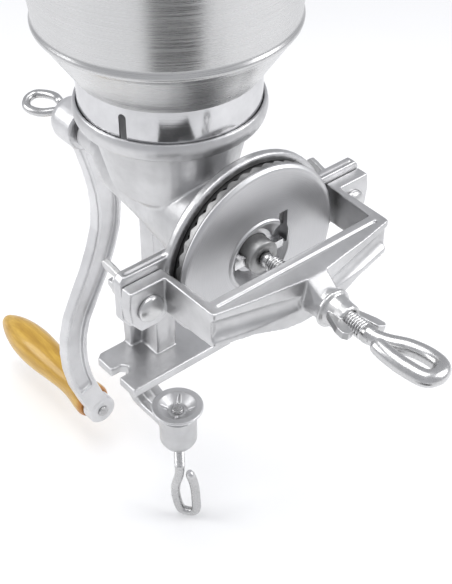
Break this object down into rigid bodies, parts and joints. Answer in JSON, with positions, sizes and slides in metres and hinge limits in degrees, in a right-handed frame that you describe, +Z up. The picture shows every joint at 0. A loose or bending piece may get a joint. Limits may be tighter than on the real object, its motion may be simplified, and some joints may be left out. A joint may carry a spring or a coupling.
{
  "type": "hand-cranked kitchen mill",
  "caption": "Hand-cranked kitchen grain mill with a table clamp, sheet hopper, burr discs held by a bolted yoke, adjusting screw and wood-handled crank.",
  "frame": {"origin": "underside of the clamp's base plate, straight below the axis of the hopper", "axes": "+Z up along the hopper's axis; +X along the shaft from the crank towards the adjusting screw; +Y across the yoke"},
  "size_m": [0.5144, 0.203, 0.5596],
  "materials": {
    "tinned_casting": "cast iron with a bright hot-dipped tin coat, satin faces and a grainy skin",
    "hopper_sheet": "polished tinned sheet steel",
    "burr_iron": "ground hard iron",
    "plated_steel": "bright plated steel",
    "handle_wood": "clear lacquered hardwood"
  },
  "bodies": {
    "mill": {"body_casting": "tinned_casting", "fixed_burr": "burr_iron", "yoke": "tinned_casting"},
    "hopper": {"hopper_skirt": "hopper_sheet", "hopper_bowl": "hopper_sheet"},
    "ball": {"thrust_ball": "plated_steel"},
    "shaft": {"auger": "burr_iron", "moving_burr": "burr_iron", "disc_carrier": "tinned_casting", "drive_key": "plated_steel", "crank_arm": "tinned_casting", "handle_spindle": "plated_steel"},
    "grip": {"handle_grip": "handle_wood"},
    "thumb_screw": {"crank_thumb_screw": "plated_steel"},
    "adjuster": {"adjusting_screw": "plated_steel"},
    "lock_nut": {"lock_wing_nut": "plated_steel"},
    "bolt_right": {"yoke_bolt_right": "plated_steel"},
    "bolt_left": {"yoke_bolt_left": "plated_steel"},
    "nut_right": {"yoke_wing_nut_right": "plated_steel"},
    "nut_left": {"yoke_wing_nut_left": "plated_steel"},
    "pad": {"clamp_pad": "tinned_casting"},
    "clamp": {"clamp_screw": "plated_steel"}
  },
  "joints": [
    {"name": "hopper_lift", "type": "slide", "parent": "mill", "child": "hopper", "axis": [0, 0, 1], "range_m": [0, 0.05]},
    {"name": "burr_gap", "type": "slide", "parent": "mill", "child": "ball", "axis": [1, 0, 0], "range_m": [0, 0.003]},
    {"name": "crank_turn", "type": "hinge", "parent": "ball", "child": "shaft", "pos_m": [0, 0, 0.167], "axis": [1, 0, 0], "continuous": true},
    {"name": "grip_spin", "type": "hinge", "parent": "shaft", "child": "grip", "pos_m": [-0.19, -0.00721, -0.12791], "axis": [1, 0, 0], "continuous": true},
    {"name": "thumb_screw_turn", "type": "hinge", "parent": "shaft", "child": "thumb_screw", "pos_m": [-0.12, 0, 0.167], "axis": [1, 0, 0], "range_deg": [-720, 0]},
    {"name": "adjuster_turn", "type": "hinge", "parent": "ball", "child": "adjuster", "pos_m": [0.15, 0, 0.167], "axis": [1, 0, 0], "range_deg": [0, 553]},
    {"name": "lock_nut_turn", "type": "hinge", "parent": "mill", "child": "lock_nut", "pos_m": [0.165, 0, 0.167], "axis": [1, 0, 0], "range_deg": [0, 720]},
    {"name": "nut_right_turn", "type": "hinge", "parent": "mill", "child": "nut_right", "pos_m": [0.06, 0.086, 0.167], "axis": [1, 0, 0], "range_deg": [-1443, 0]},
    {"name": "nut_left_turn", "type": "hinge", "parent": "mill", "child": "nut_left", "pos_m": [0.06, -0.086, 0.167], "axis": [1, 0, 0], "range_deg": [-1443, 0]},
    {"name": "bolt_right_out", "type": "slide", "parent": "mill", "child": "bolt_right", "axis": [1, 0, 0], "range_m": [0, 0.00636]},
    {"name": "bolt_left_out", "type": "slide", "parent": "mill", "child": "bolt_left", "axis": [1, 0, 0], "range_m": [0, 0.00636]},
    {"name": "pad_rise", "type": "slide", "parent": "mill", "child": "pad", "axis": [0, 0, 1], "range_m": [0, 0.026]},
    {"name": "clamp_turn", "type": "hinge", "parent": "pad", "child": "clamp", "pos_m": [-0.004, 0, -0.1], "axis": [0, 0, 1], "range_deg": [0, 5897]}
  ],
  "couplings": [
    {"joint": "adjuster_turn", "follows": "burr_gap", "rad_per_m": 3215.8},
    {"joint": "nut_right_turn", "follows": "bolt_right_out", "rad_per_m": -3957.9},
    {"joint": "nut_left_turn", "follows": "bolt_left_out", "rad_per_m": -3957.9},
    {"joint": "clamp_turn", "follows": "pad_rise", "rad_per_m": 3957.9}
  ]
}
